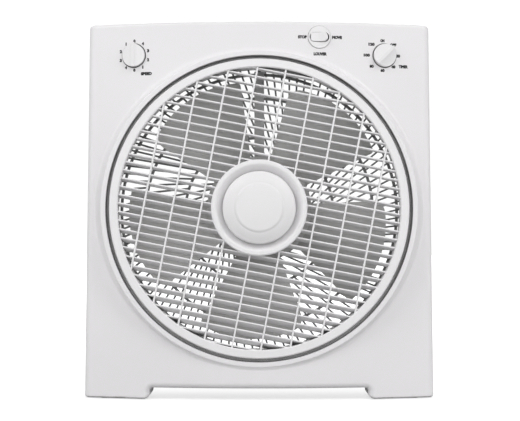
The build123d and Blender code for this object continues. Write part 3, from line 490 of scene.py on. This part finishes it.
bmesh.ops.recalc_face_normals(cap, faces=cap.faces)
for face in cap.faces:
    face.smooth = len(face.verts) < 8
cap_mesh = bpy.data.meshes.new("hub_cap")
cap.to_mesh(cap_mesh)
cap.free()
hub_cap = bpy.data.objects.new("hub_cap", cap_mesh)
scene.collection.objects.link(hub_cap)
cap_white = moulded_plastic("cap_white", (0.80, 0.79, 0.80), 0.34, edge=0.0002, dust=0.05)
cap_mesh.materials.append(cap_white)
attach(hub_cap, "louver")
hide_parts("louver_hub_cap")
finish_node("louver_hub_cap", cap_white)

# ---- Louver clips ----
# Four small glossy white mouldings, each screwed behind the panel. Their hooks reach over the louver's
# flange and keep it in its seat while it turns.
# Deep crevices round the controls, such as the gaps round the knobs, are painted dark as shade.
control_white = moulded_plastic("control_white", (0.80, 0.79, 0.80), 0.3, grains=5200.0, depth=0.08,
                                coat=0.1, gap_shade=0.95)
finish_node("louver_clips", control_white)

# ---- Louver motor ----
# A flat synchronous gear motor in a zinc-plated can, screwed behind the panel. The roller on its shaft
# has a black hub and a rubber tyre that turns the louver by its rim.
motor_case = plated_steel("motor_case", (0.50, 0.51, 0.52), 0.4, scratch=260.0)
finish_node("louver_motor", motor_case)
ground_steel = plated_steel("ground_steel", (0.58, 0.58, 0.60), 0.22, scratch=1200.0)
finish_node("louver_motor_shaft", ground_steel)
inner_black = moulded_plastic("inner_black", (0.035, 0.035, 0.036), 0.5, dust=0.5)
finish_node("roller_hub", inner_black)
tyre_rubber = rubber("tyre_rubber", (0.03, 0.03, 0.03), 0.85)
finish_node("roller_tyre", tyre_rubber)

# ---- Fan blade ----
# Five swept blades and their hub, injection moulded in one piece of light plastic, coloured a mid grey that
# is partly painted shade for the shadow behind the louver. The hub slides onto the motor's shaft and its
# slot sits over the pin.
blade_grey = moulded_plastic("blade_grey", (0.60, 0.60, 0.59), 0.35, depth=0.1, dust=0.3)
finish_node("fan_blade", blade_grey)

# ---- Blade nut, pin and shaft ----
# A ground steel shaft with a cross pin turns the blades, and a black moulded nut with a left-hand thread
# holds their hub against the pin.
finish_node("blade_nut", inner_black)
finish_node("drive_pin", ground_steel)
finish_node("motor_shaft", ground_steel)

# ---- Motor ----
# A capacitor-run motor: laminated steel cores and copper windings between two die-cast brackets, with
# sintered bronze bushes and a moulded cover. A sleeved lead runs up to the capacitor and the switches.
core_steel = plated_steel("core_steel", (0.30, 0.29, 0.29), 0.5)
finish_node("rotor_core", core_steel)
finish_node("stator_core", core_steel)
die_cast = plated_steel("die_cast", (0.66, 0.66, 0.67), 0.5, scratch=420.0)
finish_node("motor_front_bracket", die_cast)
finish_node("motor_rear_bracket", die_cast)
sintered = plated_steel("sintered_bronze", (0.58, 0.38, 0.18), 0.55)
finish_node("front_bearing_bush", sintered)
finish_node("rear_bearing_bush", sintered)
winding = plated_steel("winding_copper", (0.60, 0.25, 0.10), 0.35)
finish_node("stator_windings", winding)
finish_node("motor_cover", inner_black)
lead_sleeve = rubber("lead_sleeve", (0.03, 0.03, 0.03), 0.6)
finish_node("motor_lead", lead_sleeve)
finish_node("run_capacitor", inner_black)
finish_node("terminal_block", inner_black)

# ---- Controls ----
# Two knobs with a raised grip bar, pressed onto flatted steel shafts of the speed switch and the timer,
# and a rocker in a round bezel that stops and starts the louver.
for name in ("speed_knob", "timer_knob", "rocker_bezel", "louver_rocker"):
    finish_node(name, control_white)
finish_node("speed_shaft", ground_steel)
finish_node("timer_shaft", ground_steel)
finish_node("speed_switch", inner_black)
finish_node("timer_case", inner_black)

# ---- Dial and switch markings ----
# The markings are pad-printed in black ink on the panel: speed numbers round the left dial, minutes
# round the timer, and plain words for what each control does.
PANEL_R = 0.950              # radius of the panel's curve
PANEL_FRONT = -0.052         # y of the panel where it stands furthest forward
INK_T = 0.00004
MARK_H = 0.0037
DIGIT_W = 0.0025
ONE_W = 0.0012               # the digit one is narrower
STROKE_GROWTH = 0.085        # how much bolder than the font, as a share of its size

ink, tree, shader = new_material("print_ink", 0.45)
ink_place = tree.nodes.new("ShaderNodeTexCoord")
blotch = tree.nodes.new("ShaderNodeTexNoise")
blotch.inputs["Scale"].default_value = 1800.0
tree.links.new(ink_place.outputs["Object"], blotch.inputs["Vector"])
ink_tone = mix_colour(tree, blotch.outputs["Fac"], (0.004, 0.004, 0.004, 1.0), (0.012, 0.012, 0.013, 1.0))
tree.links.new(ink_tone, shader.inputs["Base Color"])


def print_word(shape, words, x, z, height, width):
    """Adds one printed word to a bmesh, wrapped onto the curved panel and centred on x and z."""
    curve = bpy.data.curves.new("word", "FONT")
    curve.body = words
    curve.bevel_depth = STROKE_GROWTH
    curve.bevel_resolution = 0
    curve.resolution_u = 4
    letters = bpy.data.objects.new("word", curve)
    scene.collection.objects.link(letters)
    bpy.context.view_layer.update()
    graph = bpy.context.evaluated_depsgraph_get()
    flat_word = bpy.data.meshes.new_from_object(letters.evaluated_get(graph))
    bpy.data.objects.remove(letters)
    left = min(v.co.x for v in flat_word.vertices)
    right = max(v.co.x for v in flat_word.vertices)
    low = min(v.co.y for v in flat_word.vertices)
    high = max(v.co.y for v in flat_word.vertices)
    for vertex in flat_word.vertices:
        across = x + width * ((vertex.co.x - left) / (right - left) - 0.5)
        up = z + height * ((vertex.co.y - low) / (high - low) - 0.5)
        face = PANEL_FRONT + PANEL_R - math.sqrt(PANEL_R ** 2 - across ** 2)
        ink_rise = INK_T if vertex.co.z > -STROKE_GROWTH / 2 else 0.0
        vertex.co = (across, face - ink_rise, up)
    shape.from_mesh(flat_word)
    bpy.data.meshes.remove(flat_word)


def print_label(shape, words, x, z, aside, up, width):
    """Adds a control's label, set off to one side of the control's middle."""
    print_word(shape, words, x + aside, z + up, MARK_H, width)


def keep_print(name, shape):
    """Makes the printed words of one control a piece of the casing."""
    bmesh.ops.remove_doubles(shape, verts=shape.verts, dist=1e-7)
    mesh = bpy.data.meshes.new(name)
    shape.to_mesh(mesh)
    shape.free()
    mesh.materials.append(ink)
    piece = bpy.data.objects.new(name, mesh)
    scene.collection.objects.link(piece)
    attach(piece, "casing")
    return piece


def middle(node):
    """The x and z of the middle of a node's box."""
    low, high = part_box(node)
    return (low.x + high.x) / 2, (low.z + high.z) / 2


dial_x, dial_z = middle("speed_switch")
speed_print = bmesh.new()
MARK_RING = 0.0164
for i, digit in enumerate("0432104321"):
    angle = math.radians(36.0 * i)
    mark_x = dial_x + MARK_RING * math.sin(angle)
    mark_z = dial_z + MARK_RING * math.cos(angle)
    print_word(speed_print, digit, mark_x, mark_z, MARK_H, ONE_W if digit == "1" else DIGIT_W)
print_label(speed_print, "SPEED", dial_x, dial_z, 0.0137, -0.0207, 0.0125)
keep_print("speed_dial_print", speed_print)

timer_x, timer_z = middle("timer_case")
timer_print = bmesh.new()
TIMER_RING = 0.0168
TIMER_RING_WIDER = 0.0011    # more at the sides, where the words are longest
TIMER_SCALE = 0.95
for i, mark in enumerate(("ON", "OFF", "20", "40", "60", "80", "100", "120")):
    angle = math.radians(45.0 * i)
    reach = TIMER_RING + TIMER_RING_WIDER * abs(math.sin(angle))
    mark_x = timer_x + reach * math.sin(angle)
    mark_z = timer_z + reach * math.cos(angle)
    print_word(timer_print, mark, mark_x, mark_z, MARK_H * TIMER_SCALE,
               DIGIT_W * len(mark) * TIMER_SCALE)
print_label(timer_print, "TIMER", timer_x, timer_z, 0.0239, -0.0119, 0.0106)
keep_print("timer_dial_print", timer_print)

switch_x, switch_z = middle("rocker_bezel")
switch_print = bmesh.new()
print_label(switch_print, "STOP", switch_x, switch_z, -0.0189, 0.0, 0.0100)
print_label(switch_print, "MOVE", switch_x, switch_z, 0.0198, 0.0, 0.0111)
print_label(switch_print, "LOUVER", switch_x, switch_z, 0.0010, -0.0188, 0.0148)
keep_print("louver_switch_print", switch_print)
